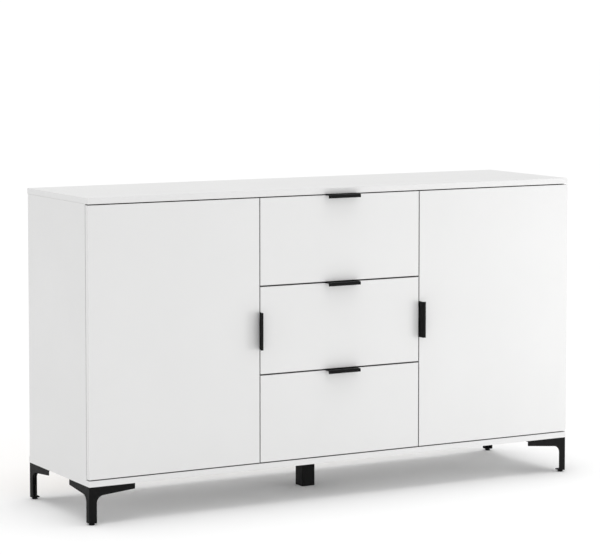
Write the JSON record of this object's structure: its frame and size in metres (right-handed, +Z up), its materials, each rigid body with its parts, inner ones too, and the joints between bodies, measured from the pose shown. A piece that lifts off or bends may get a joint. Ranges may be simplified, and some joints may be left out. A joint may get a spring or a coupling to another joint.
{
  "type": "sideboard buffet",
  "caption": "Low cabinet with doors at both sides, a middle column of drawers, black tab pulls and corner legs with levelling feet.",
  "frame": {"origin": "on the floor under the middle of the carcass, at the centre of the middle leg's bottom face", "axes": "+X to the right seen from the front, -Y towards the front, +Z up"},
  "size_m": [1.5, 0.422, 0.85],
  "materials": {
    "white_board": "satin white melamine",
    "drawer_board": "satin white foil",
    "fibreboard": "thin fibreboard, white on its inner face",
    "black_metal": "fine matt black powder coat",
    "black_plastic": "matt moulded",
    "zinc_steel": "zinc plated"
  },
  "bodies": {
    "carcass": {"top_panel": "white_board", "bottom_panel": "white_board", "left_side_panel": "white_board", "right_side_panel": "white_board", "left_divider": "white_board", "right_divider": "white_board", "left_back_panel": "fibreboard", "centre_back_panel": "fibreboard", "right_back_panel": "fibreboard", "left_shelf": "white_board", "right_shelf": "white_board", "shelf_pins": "zinc_steel", "cam_locks": "zinc_steel", "back_nails": "zinc_steel", "front_left_leg": "black_metal", "front_right_leg": "black_metal", "rear_left_leg": "black_metal", "rear_right_leg": "black_metal", "centre_leg": "black_plastic", "leg_screws": "zinc_steel", "hinge_plates": "zinc_steel", "left_hinge_arms": "zinc_steel", "right_hinge_arms": "zinc_steel", "slide_outer_rails": "zinc_steel"},
    "left_hinge_link": {"left_hinge_links": "zinc_steel"},
    "left_door": {"left_door": "white_board", "left_door_handle": "black_metal", "left_hinge_cups": "zinc_steel"},
    "right_hinge_link": {"right_hinge_links": "zinc_steel"},
    "right_door": {"right_door": "white_board", "right_door_handle": "black_metal", "right_hinge_cups": "zinc_steel"},
    "lower_mid_rails": {"lower_drawer_mid_rails": "zinc_steel"},
    "lower_drawer": {"lower_drawer_front": "white_board", "lower_drawer_handle": "black_metal", "lower_drawer_left_side": "drawer_board", "lower_drawer_right_side": "drawer_board", "lower_drawer_back": "drawer_board", "lower_drawer_bottom": "fibreboard", "lower_drawer_inner_rails": "zinc_steel"},
    "middle_mid_rails": {"middle_drawer_mid_rails": "zinc_steel"},
    "middle_drawer": {"middle_drawer_front": "white_board", "middle_drawer_handle": "black_metal", "middle_drawer_left_side": "drawer_board", "middle_drawer_right_side": "drawer_board", "middle_drawer_back": "drawer_board", "middle_drawer_bottom": "fibreboard", "middle_drawer_inner_rails": "zinc_steel"},
    "upper_mid_rails": {"upper_drawer_mid_rails": "zinc_steel"},
    "upper_drawer": {"upper_drawer_front": "white_board", "upper_drawer_handle": "black_metal", "upper_drawer_left_side": "drawer_board", "upper_drawer_right_side": "drawer_board", "upper_drawer_back": "drawer_board", "upper_drawer_bottom": "fibreboard", "upper_drawer_inner_rails": "zinc_steel"},
    "front_left_foot": {"front_left_foot": "black_plastic"},
    "front_right_foot": {"front_right_foot": "black_plastic"},
    "rear_left_foot": {"rear_left_foot": "black_plastic"},
    "rear_right_foot": {"rear_right_foot": "black_plastic"}
  },
  "joints": [
    {"name": "left_hinge_link_turn", "type": "hinge", "parent": "carcass", "child": "left_hinge_link", "pos_m": [-0.715, -0.169, 0.475], "axis": [0, 0, 1], "range_deg": [0, 40]},
    {"name": "left_door_swing", "type": "hinge", "parent": "left_hinge_link", "child": "left_door", "pos_m": [-0.7406, -0.1876, 0.475], "axis": [0, 0, -1], "range_deg": [0, 144]},
    {"name": "right_hinge_link_turn", "type": "hinge", "parent": "carcass", "child": "right_hinge_link", "pos_m": [0.715, -0.169, 0.475], "axis": [0, 0, -1], "range_deg": [0, 40]},
    {"name": "right_door_swing", "type": "hinge", "parent": "right_hinge_link", "child": "right_door", "pos_m": [0.7406, -0.1876, 0.475], "axis": [0, 0, 1], "range_deg": [0, 144]},
    {"name": "lower_drawer_slide", "type": "slide", "parent": "carcass", "child": "lower_drawer", "axis": [0, -1, 0], "range_m": [0, 0.35]},
    {"name": "lower_mid_rail_slide", "type": "slide", "parent": "carcass", "child": "lower_mid_rails", "axis": [0, -1, 0], "range_m": [0, 0.175]},
    {"name": "middle_drawer_slide", "type": "slide", "parent": "carcass", "child": "middle_drawer", "axis": [0, -1, 0], "range_m": [0, 0.35]},
    {"name": "middle_mid_rail_slide", "type": "slide", "parent": "carcass", "child": "middle_mid_rails", "axis": [0, -1, 0], "range_m": [0, 0.175]},
    {"name": "upper_drawer_slide", "type": "slide", "parent": "carcass", "child": "upper_drawer", "axis": [0, -1, 0], "range_m": [0, 0.35]},
    {"name": "upper_mid_rail_slide", "type": "slide", "parent": "carcass", "child": "upper_mid_rails", "axis": [0, -1, 0], "range_m": [0, 0.175]},
    {"name": "front_left_foot_screw", "type": "slide", "parent": "carcass", "child": "front_left_foot", "axis": [0, 0, -1], "range_m": [0, 0.008]},
    {"name": "front_right_foot_screw", "type": "slide", "parent": "carcass", "child": "front_right_foot", "axis": [0, 0, -1], "range_m": [0, 0.008]},
    {"name": "rear_left_foot_screw", "type": "slide", "parent": "carcass", "child": "rear_left_foot", "axis": [0, 0, -1], "range_m": [0, 0.008]},
    {"name": "rear_right_foot_screw", "type": "slide", "parent": "carcass", "child": "rear_right_foot", "axis": [0, 0, -1], "range_m": [0, 0.008]}
  ],
  "couplings": [
    {"joint": "left_hinge_link_turn", "follows": "left_door_swing", "ratio": 0.27778},
    {"joint": "right_hinge_link_turn", "follows": "right_door_swing", "ratio": 0.27778},
    {"joint": "lower_mid_rail_slide", "follows": "lower_drawer_slide", "ratio": 0.5},
    {"joint": "middle_mid_rail_slide", "follows": "middle_drawer_slide", "ratio": 0.5},
    {"joint": "upper_mid_rail_slide", "follows": "upper_drawer_slide", "ratio": 0.5}
  ]
}
